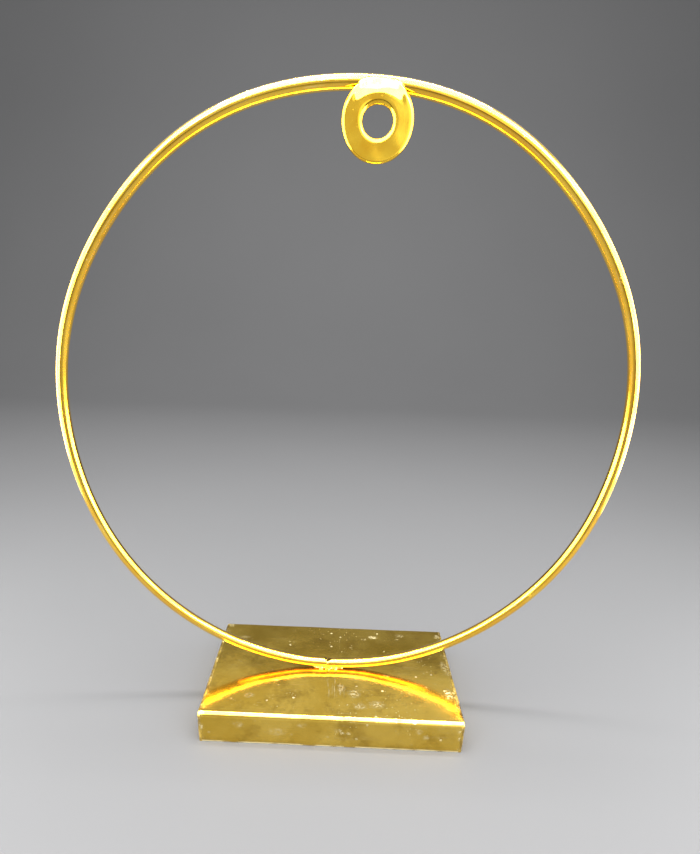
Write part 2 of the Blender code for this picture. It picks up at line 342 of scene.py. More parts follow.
def make_foot_bead(name, side, seed):
    """A fillet between the bar's flank and the base's top; side is -1 in front, 1 behind.

    Across the fillet, a curve runs from the heel on the bar to the toe on the sheet: heel + t
    (toe - heel) + bulge * 4 t (1 - t), with ripples along it. The other side of the section is a
    chord buried in the bar. The whole section shrinks towards the crease at both ends.
    """
    middle = (FOOT_LOW[0] + FOOT_HIGH[0]) / 2
    half_length = (FOOT_HIGH[0] - FOOT_LOW[0]) / 2 + FOOT_BEAD_OVERRUN
    place = np.linspace(-1.0, 1.0, 130)[:, None]
    across = np.linspace(0.0, 1.0, 18)[None, :]
    x = middle + half_length * place
    bar_z = HOOP_CENTRE_Z - np.sqrt(HOOP_RADIUS ** 2 - x ** 2)
    uneven = waves(x, 0.0 * x, seed, 5 * MM, 0.9 * MM)
    share = (1.0 - place ** 2) ** 1.2 * np.clip(0.56 + 0.42 * uneven, 0.12, 1.0)

    heel_angle = np.radians(8.0 + 48.0 * share)
    heel_y = BAR_RADIUS * np.sin(heel_angle)
    heel_z = bar_z - BAR_RADIUS * np.cos(heel_angle)
    toe_y = 0.9 * MM + 3.1 * MM * share
    toe_z = BASE_TOP - 0.06 * MM
    ripple = 0.5 + 0.5 * np.cos(2.0 * np.pi * (x / (1.25 * MM) + 0.35 * across))
    lumps = waves(x + 0.0 * across, 4 * MM * across + 0.0 * x, seed + 1, 2.5 * MM, 0.6 * MM)
    bulge = share * (0.10 * MM + 0.10 * MM * ripple + 0.30 * MM * lumps) * 4.0 * across * (1.0 - across)
    outer_y = heel_y + across * (toe_y - heel_y) + 0.75 * bulge
    outer_z = heel_z + across * (toe_z - heel_z) + 0.65 * bulge

    back = np.linspace(1.0, 0.0, 8)[None, 1:-1]
    inner_y = 0.7 * MM + back * (toe_y - 0.7 * MM)
    inner_z = np.minimum(BASE_TOP - 0.3 * MM, heel_z) + 0.0 * back
    y = side * np.concatenate([outer_y, inner_y], 1)
    z = np.concatenate([outer_z, inner_z], 1)
    return skin(name, np.stack([x + 0.0 * y, y, z], -1))


def melt(across, upward):
    """How far the eye's front is melted back under its weld: a smooth step of the drop from the rim."""
    drop = np.sqrt(np.maximum(EYE_RADIUS ** 2 - across ** 2, 0.0)) - upward
    along = smooth_step(3.0 * (1.0 - np.abs(across) / EYE_BEAD_HALF_WIDTH))
    return MELT_DEPTH * smooth_step(1.0 - drop / MELT_REACH) * smooth_step(upward / (3 * MM)) * along


def make_eye_bead():
    """Smooth weld that runs from the bar's upper front down over the eye's rim and onto its face.

    At each angle round the hoop the section is a cubic curve: it starts at a heel on the bar, is
    drawn out by a point in front of the crease, and lands flush on the eye's face at the toe. A
    chord buried in the bar and the eye closes it. Towards both ends the section shrinks onto the
    crease where the eye's rim crosses the bar.
    """
    place = np.linspace(-1.0, 1.0, 130)[:, None]
    t = np.linspace(0.0, 1.0, 34)[None, :, None]
    aside = EYE_BEAD_HALF_WIDTH * place
    angle = EYE_ANGLE + aside / HOOP_RADIUS
    bar = bow(angle)
    level = 0.0 * bar
    rim = np.sqrt(EYE_RADIUS ** 2 - aside ** 2) + EYE_CENTRE_RADIUS - HOOP_RADIUS + bow(EYE_ANGLE)
    uneven = waves(aside, level, 23, 14 * MM, 4 * MM, 6)
    share = (1.0 - np.abs(place) ** 3.0) ** 0.5
    face_y = EYE_LOW[1]

    toe_drop = 4.2 * MM - 1.9 * MM * place ** 2 + 0.30 * MM * uneven
    toe_melt = melt(aside, np.sqrt(EYE_RADIUS ** 2 - aside ** 2) - toe_drop)
    heel = np.stack([
        bar + BAR_RADIUS * np.cos(EYE_BEAD_HEEL),
        level - BAR_RADIUS * np.sin(EYE_BEAD_HEEL),
    ], -1)
    drawn_out = np.stack([np.maximum(rim + 0.7 * MM, bar + 0.2 * MM), level + face_y + 0.8 * MM], -1)
    landing = np.stack([rim - toe_drop + 1.6 * MM, level + face_y + toe_melt + 0.30 * MM], -1)
    toe = np.stack([rim - toe_drop, level + face_y + toe_melt - 0.05 * MM], -1)
    crease = np.stack([rim - 0.9 * MM, level - BAR_RADIUS - 0.9 * MM], -1)
    heel, drawn_out, landing, toe = (
        crease + share[..., None] * (spot - crease) for spot in (heel, drawn_out, landing, toe)
    )
    outer = (
        (1.0 - t) ** 3 * heel + 3.0 * t * (1.0 - t) ** 2 * drawn_out
        + 3.0 * t ** 2 * (1.0 - t) * landing + t ** 3 * toe
    )
    back = np.linspace(1.0, 0.0, 10)[None, 1:-1, None]
    sunk = np.array([-0.3 * MM, 0.9 * MM]) * share[..., None]
    inner = heel + back * (toe - heel) + sunk * 4.0 * back * (1.0 - back)
    section = np.concatenate([outer, inner], 1)
    return skin("eye_bead", on_hoop(angle + 0.0 * section[..., 0], section[..., 0], section[..., 1]))


# ---------------------------------------------------------------- hanging eye


def make_eye_washer():
    """A washer turned about its own axis: point = middle + radius * (sin, cos) of the turn, depth in Y.

    The section is a flat slab with rounded outer rim and hole lip. The rim's radius and the faces
    leave the true shape by slow waves of a few hundredths of a millimetre, as a punched blank does,
    and under the weld the front is melted back by a smooth step of the height below the rim.
    """
    half = EYE_THICKNESS / 2
    arc, _ = corner_arc((0.0, 0.0), 1.0, 90, 0, 14)
    rim_corner = np.array([EYE_RADIUS + EYE_RIM_OVER - EYE_RIM_ROUND, half - EYE_ROUND_DEPTH])
    rim = rim_corner + arc * np.array([EYE_RIM_ROUND, EYE_ROUND_DEPTH])
    lip_corner = np.array([EYE_HOLE_RADIUS + EYE_LIP_ROUND, half - EYE_ROUND_DEPTH])
    lip = lip_corner + arc[::-1] * np.array([-EYE_LIP_ROUND, EYE_ROUND_DEPTH])
    mirror = np.array([1.0, -1.0])
    face = np.linspace(lip[-1], rim[0], 12)[1:-1]
    section = np.vstack([rim, rim[::-1] * mirror, face[::-1] * mirror, lip[::-1] * mirror, lip, face])
    radius, depth = section[None, :, 0], section[None, :, 1]
    turn = np.linspace(0.0, 2.0 * np.pi, 220, endpoint=False)[:, None]
    outward = (radius - EYE_HOLE_RADIUS) / (EYE_RADIUS - EYE_HOLE_RADIUS)
    out_of_round = 0.05 * MM * np.cos(2.0 * turn + 0.9) + 0.03 * MM * np.cos(5.0 * turn)
    top_share = 0.5 + 0.5 * np.cos(turn)
    squash = EYE_HOLE_SQUASH_FOOT + (EYE_HOLE_SQUASH_TOP - EYE_HOLE_SQUASH_FOOT) * top_share
    squash = squash * np.cos(turn) ** 2 * (1.0 - outward)
    tight = (1.0 - EYE_RIM_FOOT) * smooth_step(-1.4 * np.cos(turn) - 0.1)
    face_end = rim_corner[0]
    face_start = lip_corner[0]
    stretch = EYE_RIM_ROUND * (radius - face_start) / (face_end - face_start)
    shift = tight * np.clip(np.minimum(face_end + EYE_RIM_ROUND - radius, stretch), 0.0, None)
    radius = radius + shift
    radius = radius + out_of_round * outward - squash
    across = radius * np.sin(turn)
    upward = radius * np.cos(turn)
    bend = 0.05 * MM * waves(across, upward, 31, 34 * MM, 9 * MM, 8)
    dish = 0.06 * MM * (1.0 - outward) ** 2
    front_share = 0.5 + 0.5 * depth / half
    y = EYE_Y - depth + bend + dish + front_share * melt(across, upward)
    x = EYE_X + bow(EYE_ANGLE) * math.sin(EYE_ANGLE) + EYE_ASIDE + across
    z = EYE_Z + bow(EYE_ANGLE) * math.cos(EYE_ANGLE) + EYE_LIFT + upward
    return skin("eye_washer", np.stack([x, y, z], -1), closed_rows=True)


# ---------------------------------------------------------------- base


def fold_outline(inset):
    """The fold's outer outline from the front foot over the top to the rear foot, with normals.

    Straight runs and quarter bends, an inset inside the outer faces: rows of (y, z) and as many
    outward normals.
    """
    half = BASE_HALF_DEPTH - inset
    top = BASE_TOP - inset
    bend = BEND_RADIUS - inset
    rise = np.linspace(0.0, 1.0, 26)[:-1] ** 1.4
    front = np.stack([np.full(25, -half), rise * (top - bend)], -1)
    front_normal = np.tile([-1.0, 0.0], (25, 1))
    front_bend, front_bend_normal = corner_arc((-half + bend, top - bend), bend, 180, 90, 15)
    run = np.linspace(-half + bend, half - bend, 98)[1:-1]
    across = np.stack([run, np.full(96, top)], -1)
    across_normal = np.tile([0.0, 1.0], (96, 1))
    mirror = np.array([-1.0, 1.0])
    points = [front, front_bend, across, front_bend[::-1] * mirror, front[::-1] * mirror]
    normals = [
        front_normal, front_bend_normal, across_normal,
        front_bend_normal[::-1] * mirror, front_normal[::-1] * mirror,
    ]
    return np.vstack(points), np.vstack(normals)


DENTS = (
    # x, z on the front face, reach and depth
    (4.4 * MM, 11.6 * MM, 1.9 * MM, 0.22 * MM),
    (6.3 * MM, 10.2 * MM, 1.1 * MM, 0.12 * MM),
    (10.0 * MM, 10.3 * MM, 1.6 * MM, 0.08 * MM),
    (-52.0 * MM, 13.0 * MM, 1.4 * MM, 0.05 * MM),
    (50.0 * MM, 13.5 * MM, 1.4 * MM, 0.05 * MM),
)


def sheet_swell(x, y, z):
    """How far the sheet stands out of its true faces: slow waves, a pull at the weld, and dents."""
    swell = 0.075 * MM * waves(x, y + z, 41, 110 * MM, 22 * MM, 10)
    at_edge = smooth_step((BASE_HALF_LENGTH - np.abs(x)) / (12 * MM))
    from_weld = np.hypot((x + 2.4 * MM) / 1.8, y)
    swell = swell * (0.25 + 0.75 * at_edge) - 0.10 * MM * hump(from_weld, 9 * MM)
    on_front = smooth_step((-y - BASE_HALF_DEPTH + 1.5 * MM) / (1.0 * MM))
    for dent_x, dent_z, reach, depth in DENTS:
        swell = swell - on_front * depth * hump(np.hypot(x - dent_x, (z - dent_z) * 1.3), reach)
    return swell


def make_base_fold():
    """The folded sheet: its outline carried along X, outer skin and inner skin a sheet apart.

    Point = outline + normal * (swell - rounding); the inner skin is the same outline a sheet's
    thickness inside. Near both feet the cut edge is rounded: rounding = r - square root of
    (r^2 - (r - height)^2) below the height r.
    """
    outline, normal = fold_outline(0.0)
    x = np.linspace(FOLD_LOW[0] - FOLD_OVERRUN, FOLD_HIGH[0] + FOLD_OVERRUN, 170)[:, None]
    y, z = outline[None, :, 0], outline[None, :, 1]
    swell = sheet_swell(x, y, z)
    below = np.clip(CUT_EDGE_ROUND - z, 0.0, CUT_EDGE_ROUND)
    rounding = CUT_EDGE_ROUND - np.sqrt(CUT_EDGE_ROUND ** 2 - below ** 2)
    skins = []
    for depth, edge in ((0.0, -rounding), (SHEET, rounding)):
        lift = swell + edge - depth
        skins.append(np.stack([
            x + 0.0 * lift,
            y + normal[None, :, 0] * lift,
            z + normal[None, :, 1] * lift,
        ], -1))
    grid = np.concatenate([skins[0], skins[1][:, ::-1]], 1)
    return skin("base_fold", grid, caps="ribbon")


def make_end_plate(name, side, seed):
    """A flat end plate as rings round its middle: outer face, rounded edge, inner face.

    Point = middle + share * (outline - middle) in Y and Z; X falls off over the last of the share
    as a quarter circle, and the outer face carries slow waves.
    """
    outline, _ = fold_outline(SHEET - 0.1 * MM)
    foot = np.linspace(outline[-1], outline[0], 60)[1:-1]
    loop = np.vstack([outline, foot])
    middle = np.array([0.0, BASE_TOP / 2])
    edge = np.linspace(0.0, np.pi / 2, 5)
    rim_share = 1.0 - 0.006 * (1.0 - np.sin(edge))
    rim_drop = PLATE_EDGE_ROUND * (1.0 - np.cos(edge))
    flat_share = np.linspace(0.02, 0.985, 26)
    share = np.concatenate([flat_share, rim_share, rim_share[::-1], flat_share[::-1]])[:, None]
    count = len(flat_share)
    outer_x = np.concatenate([np.zeros(count), rim_drop])
    inner_x = SHEET - outer_x[::-1]
    drop = np.concatenate([outer_x, inner_x])[:, None]
    y = middle[0] + share * (loop[None, :, 0] - middle[0])
    z = middle[1] + share * (loop[None, :, 1] - middle[1])
    swell = 0.05 * MM * waves(y, z, seed, 70 * MM, 15 * MM, 8) * (1.0 - share ** 8)
    x = side * (BASE_HALF_LENGTH - PLATE_INSET - drop - swell)
    return skin(name, np.stack([x + 0.0 * y, y, z], -1))


def make_end_bead(name, side, seed):
    """The ground bead along one end: a small corner section carried over the fold's outline.

    The section runs flush with the sheet, turns the end's corner on an arc and dips down the end
    plate. Lumps left by the grinder stand out along its own normal, and it wears away in small
    chips near both feet.
    """
    outline, normal = fold_outline(0.0)
    gaps = np.r_[0.0, np.cumsum(np.hypot(*np.diff(outline, axis=0).T))]
    along = np.linspace(0.15 * MM, gaps[-1] - 0.15 * MM, 470)
    path = np.stack([np.interp(along, gaps, outline[:, axis]) for axis in (0, 1)], -1)
    facing = np.stack([np.interp(along, gaps, normal[:, axis]) for axis in (0, 1)], -1)
    facing /= np.hypot(*facing.T)[:, None]

    width = BASE_HALF_LENGTH - FOLD_HIGH[0] + 0.1 * MM
    corner_start = width - BEAD_CORNER_ROUND
    corner, corner_normal = corner_arc((corner_start, -BEAD_CORNER_ROUND), BEAD_CORNER_ROUND, 90, 0, 12)
    flat = np.stack([np.linspace(0.0, corner_start, 7)[:-1], np.zeros(6)], -1)
    flat_normal = np.tile([0.0, 1.0], (6, 1))
    side_run = np.stack([np.full(5, width), np.linspace(-BEAD_CORNER_ROUND, -1.75 * MM, 6)[1:]], -1)
    side_normal = np.tile([1.0, 0.0], (5, 1))
    buried = np.array([[width - 0.9 * MM, -1.3 * MM], [0.0, -1.1 * MM]])
    buried_normal = np.zeros((2, 2))
    section = np.vstack([flat, corner, side_run, buried])
    section_normal = np.vstack([flat_normal, corner_normal, side_normal, buried_normal])

    round_run = np.r_[0.0, np.cumsum(np.hypot(*np.diff(section, axis=0).T))]
    place, turn = np.meshgrid(along, round_run, indexing="ij")
    lumps = waves(place, turn, seed, 9 * MM, 0.7 * MM, 20)
    ground = np.minimum(lumps, 0.35) * GRINDER_LUMP
    height = path[:, 1][:, None]
    chipped = 0.6 + 0.4 * waves(place, turn, seed + 7, 3 * MM, 1 * MM)
    chip = CHIP_DEPTH * hump(height - CHIP_HEIGHT, CHIP_REACH) * chipped
    at_corner = np.clip(section_normal.sum(1) - 1.0, 0.0, 1.0)[None, :] / 0.414
    out = ground - chip * at_corner
    side_way = section[None, :, 0] + section_normal[None, :, 0] * out
    lift = section[None, :, 1] + section_normal[None, :, 1] * out
    x = side * (BASE_HALF_LENGTH - width + side_way)
    y = path[:, 0][:, None] + facing[:, 0][:, None] * lift
    z = path[:, 1][:, None] + facing[:, 1][:, None] * lift
    return skin(name, np.stack([x, y, z], -1))


# ---------------------------------------------------------------- finishes

MIX_A, MIX_B, MIX_RESULT = 6, 7, 2      # colour sockets of Blender's Mix node


class Finish:
    """A finish under construction, metal unless told otherwise: its shader, and calls for its nodes."""

    def __init__(self, name):
        self.material = bpy.data.materials.new(name)
        self.material.use_nodes = True
        self.tree = self.material.node_tree
        self.shader = self.tree.nodes["Principled BSDF"]
        self.shader.inputs["Metallic"].default_value = 1.0
        self.place = self.node("ShaderNodeTexCoord").outputs["Object"]

    def node(self, kind, **settings):
        made = self.tree.nodes.new(kind)
        for setting, value in settings.items():
            setattr(made, setting, value)
        return made

    def feed(self, socket, source):
        """Links a node's output to a socket, or sets the socket to a plain value."""
        if isinstance(source, bpy.types.NodeSocket):
            self.tree.links.new(source, socket)
        else:
            socket.default_value = source

    def attribute(self, name):
        return self.node("ShaderNodeAttribute", attribute_name=name).outputs["Vector"]

    def stretched(self, scale, offset=(0.0, 0.0, 0.0), vector=None):
        mapping = self.node("ShaderNodeMapping")
        self.feed(mapping.inputs["Vector"], vector or self.place)
        mapping.inputs["Scale"].default_value = scale
        mapping.inputs["Location"].default_value = offset
        return mapping.outputs["Vector"]

    def noise(self, scale, detail=4.0, roughness=0.55, vector=None, output="Fac", distortion=0.0):
        noise = self.node("ShaderNodeTexNoise")
        self.feed(noise.inputs["Vector"], vector or self.place)
        noise.inputs["Scale"].default_value = scale
        noise.inputs["Detail"].default_value = detail
        noise.inputs["Roughness"].default_value = roughness
        noise.inputs["Distortion"].default_value = distortion
        return noise.outputs[output]

    def cells(self, scale, vector=None):
        """Distance to the nearest scattered point, and a random number for that point's cell."""
        cells = self.node("ShaderNodeTexVoronoi")
        self.feed(cells.inputs["Vector"], vector or self.place)
        cells.inputs["Scale"].default_value = scale
        split = self.node("ShaderNodeSeparateColor")
        self.feed(split.inputs["Color"], cells.outputs["Color"])
        return cells.outputs["Distance"], split.outputs["Red"]

    def step(self, value, start, end, low=0.0, high=1.0):
        """Turns a value between start and end smoothly into one between low and high."""
        ramp = self.node("ShaderNodeMapRange", interpolation_type="SMOOTHSTEP")
        self.feed(ramp.inputs["Value"], value)
        ramp.inputs["From Min"].default_value = start
        ramp.inputs["From Max"].default_value = end
        ramp.inputs["To Min"].default_value = low
        ramp.inputs["To Max"].default_value = high
        return ramp.outputs["Result"]

    def calc(self, operation, first, second):
        made = self.node("ShaderNodeMath", operation=operation)
        self.feed(made.inputs[0], first)
        self.feed(made.inputs[1], second)
        return made.outputs["Value"]

    def blend(self, share, first, second):
        """A colour between two colours."""
        mix = self.node("ShaderNodeMix", data_type="RGBA")
        self.feed(mix.inputs["Factor"], share)
        self.feed(mix.inputs[MIX_A], first)
        self.feed(mix.inputs[MIX_B], second)
        return mix.outputs[MIX_RESULT]

    def total(self, first, *others):
        for other in others:
            first = self.calc("ADD", first, other)
        return first

    def product(self, first, *others):
        for other in others:
            first = self.calc("MULTIPLY", first, other)
        return first

    def greatest(self, first, *others):
        for other in others:
            first = self.calc("MAXIMUM", first, other)
        return first

    def crumbled(self, size, scale):
        """Coordinates pushed about by noise, so that marks drawn on them get ragged edges."""
        colour = self.noise(scale, 4.0, 0.65, output="Color")
        centred = self.node("ShaderNodeVectorMath", operation="SUBTRACT")
        self.feed(centred.inputs[0], colour)
        centred.inputs[1].default_value = (0.5, 0.5, 0.5)
        pushed = self.node("ShaderNodeVectorMath", operation="MULTIPLY_ADD")
        self.feed(pushed.inputs[0], centred.outputs["Vector"])
        pushed.inputs[1].default_value = (2.0 * size,) * 3
        self.feed(pushed.inputs[2], self.place)
        return pushed.outputs["Vector"]

    def mark(self, middle, reach, vector, strength=1.0):
        """A soft patch: the strength at its middle, nothing outside its half sizes."""
        scale = tuple(1.0 / half for half in reach)
        offset = tuple(-spot / half for spot, half in zip(middle, reach))
        moved = self.stretched(scale, offset, vector)
        away = self.node("ShaderNodeVectorMath", operation="LENGTH")
        self.feed(away.inputs[0], moved)
        return self.step(away.outputs["Value"], 1.0, 0.35, 0.0, strength)

    def relief(self, height, depth, onto=None, strength=1.0):
        """Fine relief of a depth in metres, laid over any relief that is already there."""
        bump = self.node("ShaderNodeBump")
        bump.inputs["Strength"].default_value = strength
        bump.inputs["Distance"].default_value = depth
        self.feed(bump.inputs["Height"], height)
        if onto is not None:
            self.feed(bump.inputs["Normal"], onto)
        return bump.outputs["Normal"]

    def ring_space(self, away, centred):
        """Coordinates that change fast across the rings and slowly along them."""
        joined = self.node("ShaderNodeCombineXYZ")
        self.feed(joined.inputs["X"], self.calc("MULTIPLY", away, 2400.0))
        slow = self.stretched((60.0, 60.0, 60.0), vector=centred)
        split = self.node("ShaderNodeSeparateXYZ")
        self.feed(split.inputs[0], slow)
        self.feed(joined.inputs["Y"], split.outputs["X"])
        self.feed(joined.inputs["Z"], split.outputs["Z"])
        return joined.outputs["Vector"]

    def lacquer(self, weight, roughness):
        """A clear coat over the plating."""
        self.shader.inputs["Coat Weight"].default_value = weight
        self.shader.inputs["Coat Roughness"].default_value = roughness

    def finish(self, colour, roughness, normal):
        self.feed(self.shader.inputs["Base Color"], colour)
        self.feed(self.shader.inputs["Roughness"], roughness)
        self.feed(self.shader.inputs["Normal"], normal)
        return self.material


DEEP_GOLD = (0.92, 0.49, 0.008, 1.0)
BRIGHT_GOLD = (0.97, 0.61, 0.034, 1.0)
SHEET_GOLD = (0.56, 0.360, 0.045, 1.0)
SHEET_LIGHT = (0.69, 0.475, 0.085, 1.0)
SHEET_OLIVE = (0.36, 0.220, 0.028, 1.0)
PALE_GOLD = (0.97, 0.88, 0.55, 1.0)
# pale gold of dust and wear, also painted as a highlight along the base's foot
PALE_WEAR_AND_HIGHLIGHT = (0.92, 0.82, 0.50, 1.0)


def bar_spot(degrees):
    """A place on the bar's front at an angle from the hoop's top, clockwise."""
    angle = math.radians(degrees)
    return (HOOP_RADIUS * math.sin(angle), -BAR_RADIUS, HOOP_CENTRE_Z + HOOP_RADIUS * math.cos(angle))


def bar_finish():
    """Bright plating on drawn bar: cloudy tint, faint lines along the bar, and a few scuffs."""
    made = Finish("plated_bar")
    made.lacquer(1.0, 0.06)
    unrolled = made.attribute("unrolled")
    cloud = made.noise(24.0, 5.0, 0.6)
    lines = made.noise(1.0, 3.0, 0.6, made.stretched((40.0, 2600.0, 2600.0), vector=unrolled))
    scratch = made.step(lines, 0.60, 0.68)
    peel = made.noise(420.0, 3.0, 0.5)
    distance, chance = made.cells(300.0)
    pit = made.product(made.step(distance, 0.16, 0.05), made.step(chance, 0.80, 0.86))
    ragged = made.crumbled(0.9 * MM, 600.0)
    scuffs = made.greatest(
        made.mark(bar_spot(129), (3.0 * MM,) * 3, ragged, 0.8),
        made.mark(bar_spot(60), (2.4 * MM,) * 3, ragged, 0.7),
        made.mark(bar_spot(271), (3.4 * MM,) * 3, ragged, 0.8),
        made.mark(bar_spot(214), (2.2 * MM,) * 3, ragged, 0.6),
    )
    flecks = made.product(scuffs, made.step(made.noise(900.0, 2.0), 0.46, 0.56))
    colour = made.blend(made.step(cloud, 0.35, 0.68), DEEP_GOLD, BRIGHT_GOLD)
    colour = made.blend(made.product(made.total(scratch, pit), 0.35), colour, PALE_GOLD)
    colour = made.blend(made.product(flecks, 0.6), colour, SHEET_OLIVE)
    roughness = made.step(cloud, 0.30, 0.75, 0.09, 0.17)
    wear = made.total(made.product(scratch, 0.07), made.product(pit, 0.2), made.product(flecks, 0.3))
    roughness = made.total(roughness, wear)
    height = made.total(made.product(peel, 0.5), made.product(lines, 0.8), made.product(flecks, -0.8))
    return made.finish(colour, roughness, made.relief(height, 0.03 * MM, strength=0.5))


def washer_finish():
    """Bright plating on the punched eye: cloudy tint, faint turning lines and tiny pits."""
    made = Finish("plated_washer")
    made.lacquer(0.5, 0.08)
    centred = made.stretched((1.0, 1.0, 1.0), (-EYE_X, -EYE_Y, -EYE_Z))
    cloud = made.noise(60.0, 4.0, 0.6, distortion=0.6)
    away = made.node("ShaderNodeVectorMath", operation="LENGTH")
    made.feed(away.inputs[0], centred)
    rings = made.noise(1.0, 3.0, 0.6, made.ring_space(away.outputs["Value"], centred))
    peel = made.noise(520.0, 3.0, 0.5)
    distance, chance = made.cells(520.0)
    pit = made.product(made.step(distance, 0.20, 0.06), made.step(chance, 0.72, 0.80))
    colour = made.blend(made.step(cloud, 0.32, 0.70), DEEP_GOLD, BRIGHT_GOLD)
    colour = made.blend(made.product(pit, 0.5), colour, SHEET_OLIVE)
    roughness = made.total(made.step(cloud, 0.30, 0.72, 0.07, 0.12), made.product(pit, 0.2))
    height = made.total(made.product(peel, 0.7), made.product(rings, 0.4), made.product(pit, -0.8))
    return made.finish(colour, roughness, made.relief(height, 0.025 * MM, strength=0.4))


TOP_MARKS = (
    # x, y, half sizes along x and y in millimetres, strength
    (27.0, 37.0, 4.6, 2.6, 1.0),
    (21.0, 34.0, 2.6, 1.6, 0.7),
    (46.0, 40.0, 4.0, 3.0, 0.6),
    (43.5, 35.5, 2.2, 1.5, 0.5),
    (-28.0, 23.5, 1.1, 1.1, 0.9),
    (-29.0, 28.0, 0.8, 0.8, 0.7),
    (-7.0, 39.0, 1.0, 0.9, 0.8),
    (12.0, 23.5, 1.1, 0.9, 0.9),
    (6.0, 18.0, 0.8, 0.8, 0.7),
    (34.0, 20.0, 1.0, 0.9, 0.8),
    (-34.0, -15.6, 3.0, 1.8, 0.5),
    (-48.0, -32.0, 4.0, 3.0, 0.4),
    (26.6, -36.0, 6.0, 4.2, 0.6),
    (6.0, -22.0, 3.4, 5.5, 0.6),
    (13.5, -26.5, 4.8, 5.0, 0.7),
    (16.6, -38.0, 5.0, 4.0, 0.5),
    (34.0, -7.0, 3.0, 1.6, 0.5),
    (69.5, -23.5, 3.2, 7.0, 0.9),
    (71.5, 41.0, 3.0, 4.0, 0.7),
    (-71.5, 46.0, 3.0, 3.0, 0.8),
    (-60.0, 31.0, 5.0, 2.6, 0.4),
    (71.0, 5.0, 2.6, 9.0, 0.5),
)
FRONT_MARKS = (
    # x, z, half sizes along x and z in millimetres, strength
    (4.4, 11.8, 2.8, 1.9, 1.0),
    (6.6, 10.0, 2.0, 1.4, 0.8),
    (10.3, 10.2, 1.8, 1.4, 0.6),
    (-73.0, 11.0, 1.6, 2.6, 0.7),
    (-52.0, 13.0, 4.0, 2.6, 0.4),
    (-15.6, 14.5, 3.6, 2.2, 0.35),
    (50.0, 13.5, 3.0, 2.0, 0.45),
    (54.0, 9.6, 2.4, 2.0, 0.4),
    (-30.0, 9.0, 7.0, 3.6, 0.3),
)


def sheet_marks(made, ragged):
    """Every smudge and fleck of the base's top and front, as one mask with ragged edges."""
    masks = [
        made.mark((x * MM, y * MM, BASE_TOP), (half_x * MM, half_y * MM, 2.5 * MM), ragged, strength)
        for x, y, half_x, half_y, strength in TOP_MARKS
    ]
    masks += [
        made.mark((x * MM, -BASE_HALF_DEPTH, z * MM), (half_x * MM, 2.0 * MM, half_z * MM), ragged, strength)
        for x, z, half_x, half_z, strength in FRONT_MARKS
    ]
    return made.greatest(*masks)


def worn_ends_and_foot_highlight(made):
    """Flecks of bare plating beside both end beads, and a painted highlight along the front foot: pale
    dashes standing for the light the bottom edge catches.
    """
    axes = made.node("ShaderNodeSeparateXYZ")
    made.feed(axes.inputs[0], made.place)
    from_middle = made.calc("ABSOLUTE", axes.outputs["X"], 0.0)
    beside = made.step(from_middle, BASE_HALF_LENGTH - 5.0 * MM, BASE_HALF_LENGTH - 1.5 * MM)
    # painted highlight: a pale dashed band along the sheet's bottom edge
    foot = made.step(axes.outputs["Z"], 1.3 * MM, 0.5 * MM)
    flecks = made.step(made.noise(330.0, 6.0, 0.75, distortion=0.6), 0.50, 0.66)
    breaks = made.step(made.noise(60.0, 2.0), 0.36, 0.54)
    return made.greatest(made.product(beside, flecks, breaks, 0.8), made.product(foot, breaks))


